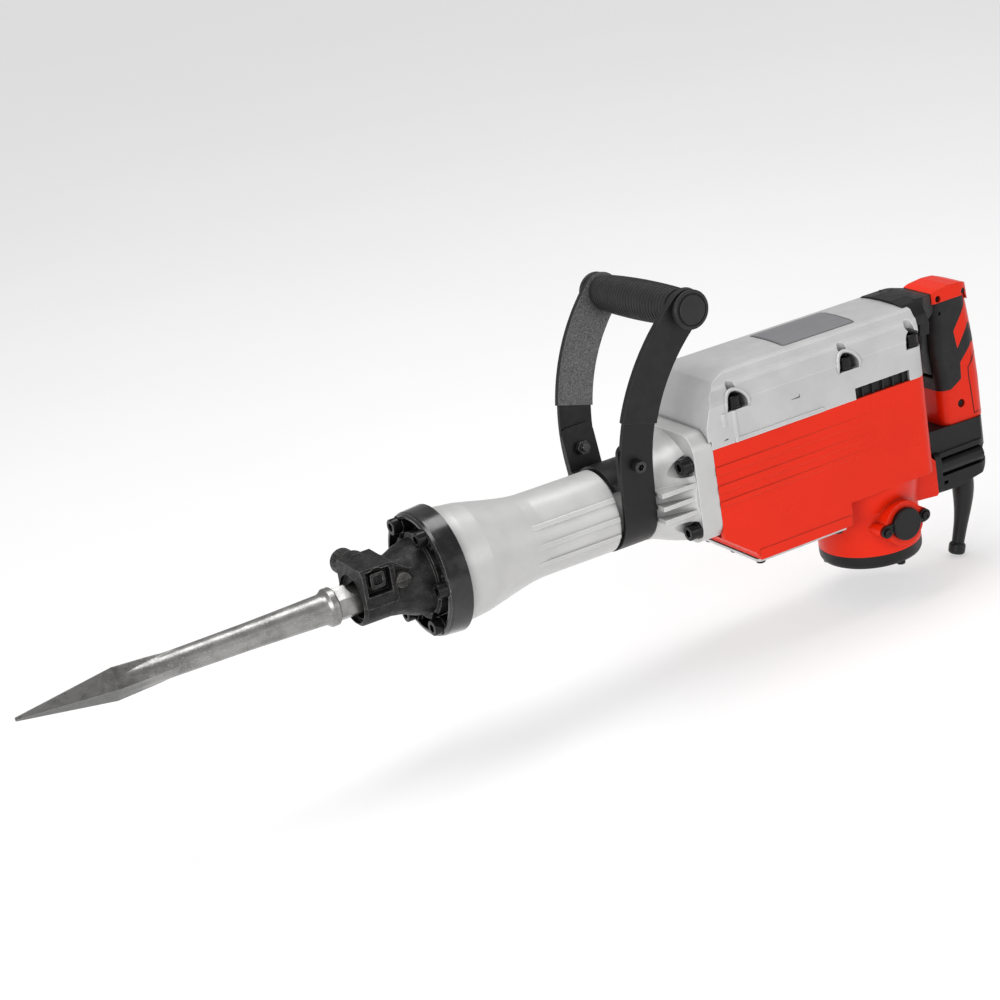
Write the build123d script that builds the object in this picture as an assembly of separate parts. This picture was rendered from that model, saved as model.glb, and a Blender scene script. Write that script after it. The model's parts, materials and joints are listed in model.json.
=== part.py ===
"""Electric demolition hammer with a hexagonal shank chisel.

Frame, in millimetres: +X runs back along the barrel to the rear handle, +Z is up along the
motor, +Y is the far side of the tool.  The origin is the centre of the flat pad under the
tail cover, on the motor's axis.  The barrel's axis is parallel to X at the height AXIS_Z.
"""
from build123d import *
import math
import os

# ---------------------------------------------------------------- driving dimensions
AXIS_Z = 154.0            # height of the barrel axis over the tail pad
FIT = 0.1                 # gap between two fixed pieces that nest in one another
RUN = 0.05                # radial running clearance

HALF_WIDTH = 60.0         # half the width of the housing and of the case flange
HOUSING_FRONT = -218.0    # front end of the motor housing
HOUSING_REAR = 55.0       # rear end of the motor housing and of the gear cover
HOUSING_TOP = 199.0       # joint between the housing and the gear cover
HOUSING_FLOOR = 68.0      # underside of the crank chamber
REAR_CORNER = 15.0        # corner radius at the rear of the housing
MOTOR_R = 55.0            # outside of the motor barrel
MOTOR_BORE = 49.0

FLANGE_FRONT = -241.0     # flange where the cylinder case meets the housing
FLANGE_Z = (103.0, 219.0)
FLANGE_CORNER = 20.0
CASE_BOLT_Y = 50.0
CASE_BOLT_DZ = 35.0

NECK_R = 43.0             # straight part of the cylinder case
CLAMP_R = 39.4            # groove in which the side handle is clamped
CLAMP_X = (-323.0, -283.0)
CASE_BORE = 38.0
RIB_ANGLES = (151.0, 177.0, 202.0)

RING_X = (-531.0, -507.0)  # black front ring
RING_R = (63.4, 65.0)
RING_BOLT_R = 53.0
FRONT_BOLTS = 6
RETAINER_FRONT = -604.0   # front face of the tool retainer case
RETAINER_AXIS = (-587.0, 176.0)
RETAINER_R = 12.0

HEX_AF = 30.0             # across the flats of the chisel's shank
CHISEL_LENGTH = 410.0
CHISEL_REAR = -538.0
COLLAR_X = (-632.0, -624.0)
COLLAR_R = 19.0
POINT_BASE = -851.0       # widest place of the forged square point
POINT_HALF = 17.0         # half the diagonal of the point's square there

LINER_X = (-445.0, -200.0)
PISTON_R = 30.0
CRANK_X = -109.0          # crankshaft axis
CRANK_THROW = 26.0
ROD_LENGTH = 120.0
GEAR_WIDTH = 12.0
GEAR_MODULE_1, PINION_1_TEETH, GEAR_1_TEETH = 1.5, 12, 48
GEAR_MODULE_2, PINION_2_TEETH, GEAR_2_TEETH = 2.0, 14, 50
IDLER_X = -45.0           # intermediate shaft axis

BRUSH_Z = 51.5            # height of the brush caps
TAIL_R = 55.0
TAIL_TOP = 18.0
PAD_R, PAD_H = 38.0, 3.0

COVER_TOP = 267.5         # flat shoulder of the gear cover
COVER_CROWN = 270.0
COVER_BOLT_X = (-182.0, -43.0, 43.0)
COVER_BOLT_Y = 51.0
COVER_SEAT_Z = 232.0

HANDLE_TURN = -3.0        # the side handle stands three degrees off vertical
STRAP_X = -303.0
STRAP_WIDTH = 37.0
STRAP_IN, STRAP_T = 44.5, 4.0
STRAP_LIFT = 5.0          # centre of the strap's bend over the barrel axis
ARM_SPLAY = 9.0           # each arm leans outwards by this angle
ARM_STRAIGHT = 44.0
ARM_BEND_R, ARM_BEND_ANGLE = 205.6, 49.1
GRIP_X, GRIP_R = -232.0, 194.3
GRIP_HALF = 70.0

BACK_HALF = 22.0          # half the width of the rear handle


# ---------------------------------------------------------------- helpers
def block(x0, x1, y0, y1, z0, z1):
    """Box between two corners."""
    centre = ((x0 + x1) / 2, (y0 + y1) / 2, (z0 + z1) / 2)
    return Pos(*centre) * Box(x1 - x0, y1 - y0, z1 - z0)


def rod_x(r, x0, x1, y=0.0, z=AXIS_Z):
    return Pos((x0 + x1) / 2, y, z) * Rot(0, 90, 0) * Cylinder(r, x1 - x0)


def rod_y(r, y0, y1, x, z):
    return Pos(x, (y0 + y1) / 2, z) * Rot(90, 0, 0) * Cylinder(r, y1 - y0)


def rod_z(r, z0, z1, x=0.0, y=0.0):
    return Pos(x, y, (z0 + z1) / 2) * Cylinder(r, z1 - z0)


def span(side, near, far):
    """The two distances on one side of the middle plane, lower first."""
    return min(side * near, side * far), max(side * near, side * far)


def side_profile(points, y0, y1):
    """Outline in X and Z, extruded from y0 to y1."""
    return extrude(Plane.XZ.offset(-y1) * make_face(Polyline(*points, close=True)), y1 - y0)


def front_profile(points, x0, x1):
    """Outline in Y and Z, extruded from x0 to x1."""
    return extrude(Plane.YZ.offset(x0) * make_face(Polyline(*points, close=True)), x1 - x0)


def turned_x(points):
    """Outline of (x, radius) turned about the barrel axis."""
    face = make_face(Polyline(*[(x, AXIS_Z + r) for x, r in points], close=True))
    return revolve(Plane.XZ * face, Axis((0, 0, AXIS_Z), (1, 0, 0)), 360)


def turned_z(points, x=0.0, y=0.0):
    """Outline of (radius, z) turned about a vertical axis."""
    face = make_face(Polyline(*points, close=True))
    return Pos(x, y, 0) * revolve(Plane.XZ * face, Axis.Z, 360)


def tube_x(r_in, r_out, x0, x1):
    return rod_x(r_out, x0, x1) - rod_x(r_in, x0 - 1, x1 + 1)


def tube_z(r_in, r_out, z0, z1, x=0.0, y=0.0):
    return rod_z(r_out, z0, z1, x, y) - rod_z(r_in, z0 - 1, z1 + 1, x, y)


def hexagon(across_flats):
    return RegularPolygon(across_flats / 2, 6, major_radius=False)


def polar(r, degrees):
    """Point in Y and Z about the barrel axis."""
    a = math.radians(degrees)
    return r * math.cos(a), AXIS_Z + r * math.sin(a)


def cap_screw(m, length, washer=0.0, shank_r=0.0):
    """Socket cap screw along Z with its head's seat at z = 0, and its washer below the head."""
    shank_r = shank_r or 0.5 * m
    head = fillet(Cylinder(0.8 * m, m).edges().group_by(Axis.Z)[-1], 0.1 * m)
    head = Pos(0, 0, m / 2 + washer) * head
    socket = Pos(0, 0, 0.5 * m + washer) * extrude(hexagon(0.8 * m), 0.6 * m)
    shank = Pos(0, 0, (washer - length) / 2 + 0.05) * Cylinder(shank_r, length + washer + 0.1)
    pieces = [head + shank - socket]
    if washer:
        ring = Cylinder(0.88 * m, washer - 0.1) - Cylinder(shank_r + FIT, washer)
        pieces.append(Pos(0, 0, washer / 2) * ring)
    return pieces


def pan_screw(head_r, length):
    """Cross-recessed pan head screw along Z with its seat at z = 0."""
    head = Pos(0, 0, 0.35 * head_r) * Cylinder(head_r, 0.7 * head_r)
    head = fillet(head.edges().group_by(Axis.Z)[-1], 0.3 * head_r)
    slot = Pos(0, 0, 0.6 * head_r) * (Box(1.3 * head_r, 0.24 * head_r, 0.6 * head_r)
                                      + Box(0.24 * head_r, 1.3 * head_r, 0.6 * head_r))
    shank = Pos(0, 0, -length / 2 + 0.05) * Cylinder(0.5 * head_r, length + 0.1)
    return head + shank - slot


def placed(pieces, places):
    """Every piece at every place."""
    pieces = pieces if isinstance(pieces, list) else [pieces]
    return [place * piece for place in places for piece in pieces]


def spur_gear(teeth, module, width, phase=0.0):
    """Involute spur gear about Z from z = 0 up, with one tooth centred on the angle phase."""
    pressure = math.radians(25)
    pitch_r = teeth * module / 2
    base_r = pitch_r * math.cos(pressure)
    tip_r = pitch_r + 0.85 * module
    root_r = pitch_r - 1.15 * module
    backlash = 0.05 * module / pitch_r

    def involute(angle):
        return math.tan(angle) - angle

    half_tooth = math.pi / (2 * teeth) + involute(pressure) - backlash
    flank_from = max(root_r, base_r)
    radii = [flank_from + (tip_r - flank_from) * step / 3 for step in range(4)]
    flank = [(r, half_tooth - involute(math.acos(min(1.0, base_r / r)))) for r in radii]
    points = []
    for tooth in range(teeth):
        centre = math.radians(phase) + 2 * math.pi * tooth / teeth
        side = [(root_r, half_tooth)] + flank
        points += [(r, centre - a) for r, a in side] + [(r, centre + a) for r, a in reversed(side)]
    outline = [(r * math.cos(a), r * math.sin(a)) for r, a in points]
    return extrude(make_face(Polyline(*outline, close=True)), width)


SCREW_FRONT = Rot(0, -90, 0)   # turns a screw's head from +Z to -X
SCREW_NEAR = Rot(90, 0, 0)     # turns a screw's head from +Z to -Y
SCREW_FAR = Rot(-90, 0, 0)
SCREW_DOWN = Rot(180, 0, 0)
SCREW_BACK = Rot(0, 90, 0)


# ---------------------------------------------------------------- barrel and front end
CASE_BOLTS = [(y, AXIS_Z + dz) for y in (-CASE_BOLT_Y, CASE_BOLT_Y) for dz in (-CASE_BOLT_DZ, CASE_BOLT_DZ)]
RING_BOLTS = [polar(RING_BOLT_R, 360 * k / FRONT_BOLTS) for k in range(FRONT_BOLTS)]
RING_SHANK = 4.0
POCKET_BOLTS = (1, 4)      # front screws that sit in pockets of the ring
RING_FLOOR = -519.0
LOBE_FACE = -527.0
NOSE_X = -526.0            # front end of the hammer holder
HOLDER_X = (-506.5, -472.0, -446.0)    # wide and narrow part of the hammer holder
BOLT_COLLAR_X = (-470.0, -452.0)


def flange_prism(x0, x1, inset=0.0):
    """Rounded rectangle of the flange, from x0 to x1."""
    z0, z1 = FLANGE_Z
    outline = RectangleRounded(z1 - z0 - 2 * inset, 2 * (HALF_WIDTH - inset), FLANGE_CORNER - inset)
    return Pos(x0, 0, (z0 + z1) / 2) * Rot(0, 90, 0) * extrude(outline, x1 - x0)


def cylinder_case():
    """Cylinder case: bell, ribbed neck, clamp groove and rear flange, bored for the liner."""
    x0, x1 = CLAMP_X
    case = turned_x([(RING_X[1], 0), (RING_X[1], 58.5), (-493, 58), (-475, 56), (-458, 52.3), (-445, 49.3),
                     (-432, 46.6), (-420, 44.4), (-408, 43.2), (-395, NECK_R), (x0 - 1.5, NECK_R),
                     (x0, CLAMP_R), (x1 + 3, CLAMP_R), (x1 + 3, 0)])
    for angle in RIB_ANGLES:
        for side in (angle, 180 - angle):
            y, z = polar(NECK_R - 0.4, side)
            rib = Pos(0, y, z) * Rot(side, 0, 0) * block(-430, x0 - 2, -1.9, 1.9, -2.6, 2.6)
            case += rib & rod_x(46, -428, x0 - 2)
    flare = turned_x([(x1, 0), (x1, CLAMP_R), (x1 + 1.5, 44), (-272, 46), (-258, 51.4), (-247, 57),
                      (FLANGE_FRONT + 3, 63), (FLANGE_FRONT + 3, 0)])
    for z in (141.5, 155.5, 169.5):
        for y in (-49.0, 49.0):
            flare += Pos((FLANGE_FRONT - 281) / 2, y, z) * Box(FLANGE_FRONT + 283, 19, 4.6)
    flare &= flange_prism(-300, -220, 1.0)
    for y, z in CASE_BOLTS:
        flare -= rod_x(11.5, -285, FLANGE_FRONT + 10, y, z)
    case += flare + flange_prism(FLANGE_FRONT, HOUSING_FRONT - 0.2)
    for y, z in CASE_BOLTS:
        case -= rod_x(5 + FIT, -260, -200, y, z)
    case -= rod_x(CASE_BORE + FIT, RING_X[1] - 1, -200)
    case -= rod_x(47 + FIT, RING_X[1] - 1, HOLDER_X[1])
    for y, z in RING_BOLTS:
        case -= rod_x(RING_SHANK + FIT, RING_X[1] - 1, -492, y, z)
    return case


def front_ring():
    """Ring that closes the bell, with a recess for the retainer's flange and six screw seats."""
    x0, x1 = RING_X
    ring = turned_x([(x0, 0), (x0, RING_R[0] - 4), (x0 + 1.2, RING_R[0] - 1.2), (x0 + 4, RING_R[0]),
                     (x1, RING_R[1]), (x1, 0)])
    ring -= rod_x(57.5, x0 - 1, RING_FLOOR)
    ring -= rod_x(25 + FIT, x0 - 1, x1 + 1)
    for k, (y, z) in enumerate(RING_BOLTS):
        seat = RING_FLOOR if k in POCKET_BOLTS else LOBE_FACE + 0.1
        ring -= rod_x(9.1, x0 - 1, seat, y, z)
        ring -= rod_x(RING_SHANK + FIT, x0 - 1, x1 + 1, y, z)
    return ring


KNOB_R, KNOB_Y = 13.0, (26.0, 48.0)


def retainer_case():
    """Tool retainer case: lobed flange, round neck, block with a hexagonal mouth and side recess."""
    axis_x, axis_z = RETAINER_AXIS
    back = RING_FLOOR - 0.2
    case = turned_x([(RETAINER_FRONT, 0), (RETAINER_FRONT, 25.5), (RETAINER_FRONT + 2.5, 28), (-572, 28),
                     (-560, 30), (-545, 36), (LOBE_FACE - 4, 39), (LOBE_FACE - 4, 44), (back, 44),
                     (back, 0)])
    head = front_profile([(-32, 150), (-32, 184), (-28, 189), (18, 190), (23, 184), (23, 150)],
                         RETAINER_FRONT, -569)
    head = chamfer(head.edges().filter_by(Axis.Y).group_by(Axis.Z)[-1], 2)
    saddle = side_profile([(-572, 150), (-572, 187), (-552, 176), (LOBE_FACE - 2, 172),
                           (LOBE_FACE - 2, 150)], -27, 22)
    case += head + saddle + rod_y(16, 10, 24, axis_x, axis_z)
    for k, (y, z) in enumerate(RING_BOLTS):
        if k in POCKET_BOLTS:
            case -= rod_x(14, LOBE_FACE - 30, RING_FLOOR + 1, y, z)
            continue
        lobe = rod_x(11, LOBE_FACE, back, y, z)
        web_centre = Pos((LOBE_FACE + back) / 2, y / 2, (z + AXIS_Z) / 2)
        lobe += web_centre * Rot(360 * k / FRONT_BOLTS, 0, 0) * Box(back - LOBE_FACE, RING_BOLT_R, 20)
        case += lobe & rod_x(57.3, LOBE_FACE, back)
        case -= rod_x(9.2, LOBE_FACE - 30, LOBE_FACE, y, z)
        case -= rod_x(RING_SHANK + FIT, LOBE_FACE - 1, RING_FLOOR + 1, y, z)
    mouth = rod_x(24.5, RETAINER_FRONT - 1, RETAINER_FRONT + 4.5)
    mouth += rod_x(21, RETAINER_FRONT, -576) & block(-620, -570, -30, 30, 120, 163)
    case -= mouth
    hex_hole = Plane.YZ.offset(RETAINER_FRONT) * Pos(0, AXIS_Z) * Rot(0, 0, 30) * hexagon(HEX_AF + 0.8)
    case -= extrude(hex_hole, 79)
    case -= rod_x(25 + FIT, NOSE_X - 0.5, RING_FLOOR + 1)
    case -= rod_y(RETAINER_R + RUN, -30, 40, axis_x, axis_z)
    case -= rod_y(KNOB_R + 0.5, KNOB_Y[0] - 0.5, 60, axis_x, axis_z)
    case -= side_profile([(-600, 162), (-600, 186.5), (-574, 186.5), (-574, 162)], -40, -22)
    return case - rod_y(8.05, -40, -25.5, -562, 168)


def retainer_lock_pin():
    """Half-round stop pin of the retainer, in the near side of its case."""
    pin = rod_y(8, -34, -25.5, -562, 168)
    return pin - block(-575, -550, -35, -30, 155, 168)


def tool_retainer():
    """Cross shaft that locks the chisel: one flat, a square key end and a turning knob."""
    x, z = RETAINER_AXIS
    shaft = rod_y(RETAINER_R, -23.5, 26, x, z)
    shaft -= block(x - 20, x + 20, -18, 18, z + 6, z + 20)
    key = fillet(block(x - 7.5, x + 7.5, -30, -23.5, z - 7.5, z + 7.5).edges().filter_by(Axis.Y), 2.5)
    key -= fillet(block(x - 4.8, x + 4.8, -31, -26, z - 4.8, z + 4.8).edges().filter_by(Axis.Y), 1.5)
    knob = rod_y(KNOB_R, *KNOB_Y, x, z)
    knob = fillet(knob.edges().filter_by(GeomType.CIRCLE).group_by(Axis.Y)[-1], 1.6)
    for k in range(18):
        a = math.radians(20 * k)
        knob -= rod_y(0.9, 29, 45, x + 13.3 * math.cos(a), z + 13.3 * math.sin(a))
    knob -= rod_y(2, 46.5, 50, x - 6, z)
    return shaft + key + knob


def forged_point():
    """Square point with its ridges up, down and sideways, running out into the round body."""
    rings = []
    for x, half in ((CHISEL_REAR - CHISEL_LENGTH, 2.0), (POINT_BASE, POINT_HALF), (POINT_BASE + 35, 15.0),
                    (POINT_BASE + 95, 10.0)):
        corners = [(half, 0), (0, half), (-half, 0), (0, -half)]
        rings.append(Plane.YZ.offset(x) * Pos(0, AXIS_Z) * make_face(Polyline(*corners, close=True)))
    return loft(rings, ruled=True)


def point_chisel():
    """Bull point chisel: hexagonal shank with a retaining notch, collar, round body, forged point."""
    x0, x1 = COLLAR_X
    body = turned_x([(POINT_BASE, 0), (POINT_BASE, 11.6), (-800, 12.4), (-765, 12.7), (-712, 13.3),
                     (-660, 14.7), (x0 - 5, 15.4), (x0 - 2, 16.6), (x0, COLLAR_R - 0.8), (x0 + 1, COLLAR_R),
                     (x1 - 1, COLLAR_R), (x1, COLLAR_R - 1), (x1, 0)])
    body += forged_point()
    shank = extrude(Plane.YZ.offset(x1 - 1) * Pos(0, AXIS_Z) * Rot(0, 0, 30) * hexagon(HEX_AF),
                    CHISEL_REAR - x1 + 1)
    shank &= turned_x([(x1 - 1, 0), (x1 - 1, 18), (CHISEL_REAR - 2.5, 18), (CHISEL_REAR, 15),
                       (CHISEL_REAR, 0)])
    x, z = RETAINER_AXIS
    reach = RETAINER_R + 11
    notch = block(x - reach + 4, x + reach - 4, -20, 20, z - RETAINER_R - 0.5, z + 10)
    notch += rod_y(6, -20, 20, x - reach + 6, z - RETAINER_R + 5.5)
    notch += rod_y(6, -20, 20, x + reach - 6, z - RETAINER_R + 5.5)
    return body + shank - notch


def front_cap_screws():
    """Six cap screws with their washers: four on the retainer's lobes, two in the ring's pockets."""
    pieces = []
    for k, (y, z) in enumerate(RING_BOLTS):
        deep = k in POCKET_BOLTS
        seat = RING_FLOOR if deep else LOBE_FACE
        washer = 10.0 if deep else 3.0
        pieces += placed(cap_screw(10, 26 if deep else 34, washer, RING_SHANK),
                         [Pos(seat - 0.05, y, z) * SCREW_FRONT])
    return pieces


def cylinder_liner():
    """Steel cylinder with three rows of air ports."""
    liner = tube_x(PISTON_R + RUN, CASE_BORE, *LINER_X)
    for x in (-425, -375, -300):
        for k in range(4):
            y, z = polar(34, 45 + 90 * k)
            liner -= Pos(x, y, z) * Rot(45 + 90 * k, 0, 0) * Rot(90, 0, 0) * Cylinder(2.5, 30)
    return liner


def hammer_holder():
    """Steel guide for the impact bolt, held between the ring and the liner."""
    holder = rod_x(47, HOLDER_X[0], HOLDER_X[1]) + rod_x(CASE_BORE, HOLDER_X[0], HOLDER_X[2])
    holder += rod_x(25, NOSE_X, HOLDER_X[0])
    holder -= rod_x(26.5, BOLT_COLLAR_X[0] - 12, -430)
    return holder - rod_x(15 + RUN, -531, -430)


def holder_damper():
    """Rubber ring behind the impact bolt's collar."""
    return tube_x(14.5, 26.3, BOLT_COLLAR_X[1] + 0.8, HOLDER_X[2] - 0.4)


def impact_bolt():
    """Second hammer that passes the striker's blow to the chisel."""
    c0, c1 = BOLT_COLLAR_X
    return turned_x([(-519, 0), (-519, 13.5), (-517.5, 15), (c0, 15), (c0, 24), (c0 + 2, 26), (c1 - 2, 26),
                     (c1, 24), (c1, 14), (-396.5, 14), (-395, 12.5), (-395, 0)])


# ---------------------------------------------------------------- hammer mechanism
PIN_X = CRANK_X + CRANK_THROW - ROD_LENGTH     # piston pin at the rear dead centre


def striker():
    body = turned_x([(-346, 0), (-346, 27), (-344, 29.9), (-302, 29.9), (-300, 27.5), (-300, 0)])
    return body - tube_x(28.2, 32, -326, -321)


def piston():
    """Piston with a slot for the rod's small end and a bore for its pin."""
    crown = PIN_X - 35
    body = turned_x([(crown, 0), (crown, 28.5), (crown + 1.5, 29.95), (PIN_X + 15, 29.95), (PIN_X + 15, 0)])
    body -= tube_x(27.6, 32, crown + 8, crown + 12.4)
    body -= block(PIN_X - 20, PIN_X + 20, -24, 24, AXIS_Z - 11, AXIS_Z + 11)
    return body - rod_z(7 + FIT, AXIS_Z - 24, AXIS_Z + 24, PIN_X)


def piston_seal():
    crown = PIN_X - 35
    return tube_x(27.7, 29.95, crown + 8.2, crown + 12.2)


def piston_pin():
    return rod_z(7, AXIS_Z - 23.5, AXIS_Z + 23.5, PIN_X)


def connecting_rod():
    """Rod from the piston pin to the crank pin, with a waisted shank."""
    big_x = PIN_X + ROD_LENGTH
    rod = rod_z(13, AXIS_Z - 10, AXIS_Z + 10, PIN_X) + rod_z(18, AXIS_Z - 10, AXIS_Z + 10, big_x)
    shank = side_profile([(PIN_X, AXIS_Z - 6), (PIN_X, AXIS_Z + 6), (big_x, AXIS_Z + 8),
                          (big_x, AXIS_Z - 8)], -8, 8)
    rod += shank
    return rod - rod_z(7 + RUN, 130, 180, PIN_X) - rod_z(9 + FIT, 130, 180, big_x)


CRANK_DISC_Z = (167.0, 179.0)


def crank_pin():
    """Crank pin, kept with the rod; it stops just under the crank disc."""
    return rod_z(9, AXIS_Z - 13, CRANK_DISC_Z[0] - 0.6, CRANK_X + CRANK_THROW)


def crankshaft():
    """Crank disc with counterweight side and the shaft up through both bearings."""
    z0, z1 = CRANK_DISC_Z
    shaft = rod_z(42, z0, z1, CRANK_X) + rod_z(15, z1, 186, CRANK_X)
    shaft += rod_z(12, 186, 247, CRANK_X)
    return shaft - rod_z(8, z0 - 1, z1 - 4, CRANK_X - 26, 0)


CRANK_GEAR_Z = 219.0
IDLER_GEAR_Z = 203.0


def crank_gear():
    gear = spur_gear(GEAR_2_TEETH, GEAR_MODULE_2, GEAR_WIDTH + 2, 180 / GEAR_2_TEETH)
    gear = Pos(CRANK_X, 0, CRANK_GEAR_Z) * gear - rod_z(12 + FIT, 200, 260, CRANK_X)
    for k in range(6):
        a = math.radians(60 * k)
        gear -= rod_z(7, 200, 260, CRANK_X + 30 * math.cos(a), 30 * math.sin(a))
    return gear


def intermediate_gear():
    """Large gear and small pinion on one vertical shaft."""
    wheel = spur_gear(GEAR_1_TEETH, GEAR_MODULE_1, GEAR_WIDTH, 180 / GEAR_1_TEETH)
    wheel = Pos(IDLER_X, 0, IDLER_GEAR_Z) * wheel
    pinion = spur_gear(PINION_2_TEETH, GEAR_MODULE_2, GEAR_WIDTH + 3)
    pinion = Pos(IDLER_X, 0, CRANK_GEAR_Z - 0.5) * pinion
    shaft = rod_z(7.5, 188.4, 247, IDLER_X) + rod_z(10, IDLER_GEAR_Z + GEAR_WIDTH, CRANK_GEAR_Z, IDLER_X)
    return wheel + pinion + shaft


def armature_shaft():
    """Motor shaft with the pinion cut on its upper end."""
    shaft = turned_z([(0, 8.5), (5, 8.5), (5, 19), (8, 19), (8, 158), (7, 158), (7, 202.5), (0, 202.5)])
    pinion = Pos(0, 0, IDLER_GEAR_Z - 1) * spur_gear(PINION_1_TEETH, GEAR_MODULE_1, GEAR_WIDTH + 2)
    return shaft + pinion


def commutator():
    ring = tube_z(8 + FIT, 17, 38, 64)
    for k in range(24):
        ring -= Rot(0, 0, 15 * k) * block(15.8, 18, -0.35, 0.35, 37, 61)
    return ring


def armature_core():
    core = tube_z(8 + FIT, 27, 80, 132)
    for k in range(12):
        core -= Rot(0, 0, 30 * k) * (block(24, 28, -1.2, 1.2, 79, 133) + rod_z(3.4, 79, 133, 20.5))
    return core


def armature_windings():
    """End turns above and below the core, as one closed ring each."""
    lower = turned_z([(8.2, 67), (19, 66), (24.5, 70), (25, 77), (23, 79.9), (8.2, 79.9)])
    upper = turned_z([(8.2, 132.1), (23, 132.1), (25, 135), (24, 141), (18, 144), (8.2, 143)])
    return [lower, upper]


def cooling_fan():
    fan = tube_z(8 + FIT, 13, 145, 157) + tube_z(12, 45, 145, 147)
    for k in range(14):
        blade = Rot(0, 0, 360 * k / 14) * Pos(29, 0, 151.5) * Rot(0, 0, 28) * Box(30, 1.8, 9.5)
        fan += blade
    return fan & rod_z(45, 140, 160)


def stator_core():
    core = tube_z(28.2, 48.5, 82, 130)
    for s in (-1, 1):
        core -= Pos(0, s * 36, 106) * Box(26, 12, 60)
    return core


def stator_coils():
    """Two field coils, each a flat loop round its pole."""
    coils = []
    for s in (-1, 1):
        for z0, z1 in ((69, 81.5), (130.5, 141)):
            ring = tube_z(30, 44, z0, z1)
            half = ring & block(-45, 45, *span(s, 6, 46), z0 - 1, z1 + 1)
            coils.append(half)
    return coils


def bearing(r_in, r_out, z0, z1, x=0.0):
    """Shielded ball bearing."""
    body = tube_z(r_in + 0.02, r_out - FIT, z0, z1, x)
    for z in (z0, z1):
        groove = tube_z(r_in + 0.3 * (r_out - r_in), r_in + 0.72 * (r_out - r_in), z - 0.8, z + 0.8, x)
        body -= groove
    return body


def shaft_bearings():
    """Six bearings: two of the armature, two of the crankshaft, two of the intermediate shaft."""
    return [bearing(5, 15, 8.5, 17.5), bearing(7, 16, 160, 171),
            bearing(12, 24, 187, 198.5, CRANK_X), bearing(12, 22, 236, 247, CRANK_X),
            bearing(7.5, 15, 188.4, 198.5, IDLER_X), bearing(7.5, 15, 236, 247, IDLER_X)]


# ---------------------------------------------------------------- motor housing
def plan(x0, x1, half, corner):
    """Plan outline with rounded rear corners, as a face on the ground plane."""
    box = Pos((x0 + x1) / 2, 0) * Rectangle(x1 - x0, 2 * half)
    return fillet(box.vertices().group_by(Axis.X)[-1], corner)


CHAMBER_REAR = -64.0      # rear wall of the crank chamber
RIB_LIFT = 1.1


def fading_rib(s, z0, z1):
    """Long rib on one side of the housing that sinks into the wall towards the rear."""
    front, rear = (HOUSING_FRONT, s * (HALF_WIDTH + RIB_LIFT)), (-12, s * HALF_WIDTH)
    outline = [(HOUSING_FRONT, s * 58), front, rear, (-12, s * 58)]
    return Pos(0, 0, z0) * extrude(make_face(Polyline(*outline, close=True)), z1 - z0)


def motor_housing():
    """One-piece housing: crank chamber in front, motor barrel below the rear, brush bosses."""
    body = Pos(0, 0, HOUSING_FLOOR) * extrude(plan(HOUSING_FRONT, HOUSING_REAR, HALF_WIDTH, REAR_CORNER),
                                              HOUSING_TOP - HOUSING_FLOOR)
    slope = side_profile([(HOUSING_FRONT - 1, 60), (HOUSING_FRONT - 1, 104), (HOUSING_FRONT, 103),
                          (-184, 78), (-176, HOUSING_FLOOR), (-176, 60)], -70, 70)
    body -= slope
    body -= Pos(0, 0, HOUSING_FLOOR) * extrude(plan(-60, 80, 90, 20), 24)
    shoulder = loft([Plane.XY.offset(66) * Circle(MOTOR_R), Plane.XY.offset(92) * Circle(HALF_WIDTH)])
    body += rod_z(MOTOR_R, TAIL_TOP, 93) + (shoulder & block(-60, HOUSING_REAR, -60, 60, 60, 93))
    foot = side_profile([(20, 56), (72, 51), (74, 53), (74, 90), (66, 99), (40, 104), (20, 104)], -31, 31)
    body += foot
    for z0, z1 in ((171, 180), (152, 160), (138, 143)):
        for s in (-1, 1):
            body += fading_rib(s, z0, z1)
    body += block(-178, -62, -HALF_WIDTH - 0.8, HALF_WIDTH + 0.8, HOUSING_FLOOR, 79)
    for s in (-1, 1):
        boss = rod_y(24, *span(s, 30, 66), 0, BRUSH_Z)
        body += boss
        for ear in (-1, 1):
            body += rod_y(7, *span(s, 40, 64), ear * 25, BRUSH_Z + 2 * ear)
    body -= rod_z(MOTOR_BORE, TAIL_TOP - 1, 158)
    body -= rod_z(16, 150, 171.5) + rod_z(10, 160, 250)
    body -= block(-68, 50, -54, 54, 187, 250)
    body -= block(HOUSING_FRONT - 5, CHAMBER_REAR, -54, 54, 78, 250)
    body -= rod_x(CASE_BORE + 2, -230, -200)
    body -= block(-172, -68, -48, 48, 50, 100)
    for s in (-1, 1):
        body -= rod_y(16.5, *span(s, 40, 70), 0, BRUSH_Z)
        for ear in (-1, 1):
            body -= rod_y(2.5, *span(s, 52, 66), ear * 25, BRUSH_Z + 2 * ear)
    for y, z in CASE_BOLTS:
        body += rod_x(10, HOUSING_FRONT, -190, y, z) & block(-230, -180, -59, 59, 100, 198)
        body -= rod_x(5 + FIT, HOUSING_FRONT - 1, -192, y, z)
    for x, y in COVER_BOLTS:
        body += rod_z(8.5, 150, HOUSING_TOP, x, y * 0.985)
        body -= rod_z(5 + FIT, 160, HOUSING_TOP + 1, x, y)
    for x, y in BASE_SCREWS:
        body += rod_z(6, HOUSING_FLOOR, 84, x, y)
        body -= rod_z(2.6, HOUSING_FLOOR - 1, 82, x, y)
    for x, y in TAIL_SCREWS:
        body -= rod_z(2.6, TAIL_TOP - 1, 34, x, y)
    for y, z in BRACKET_SCREWS:
        body -= rod_x(2.6, 58, 76, y, z)
    return body


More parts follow.
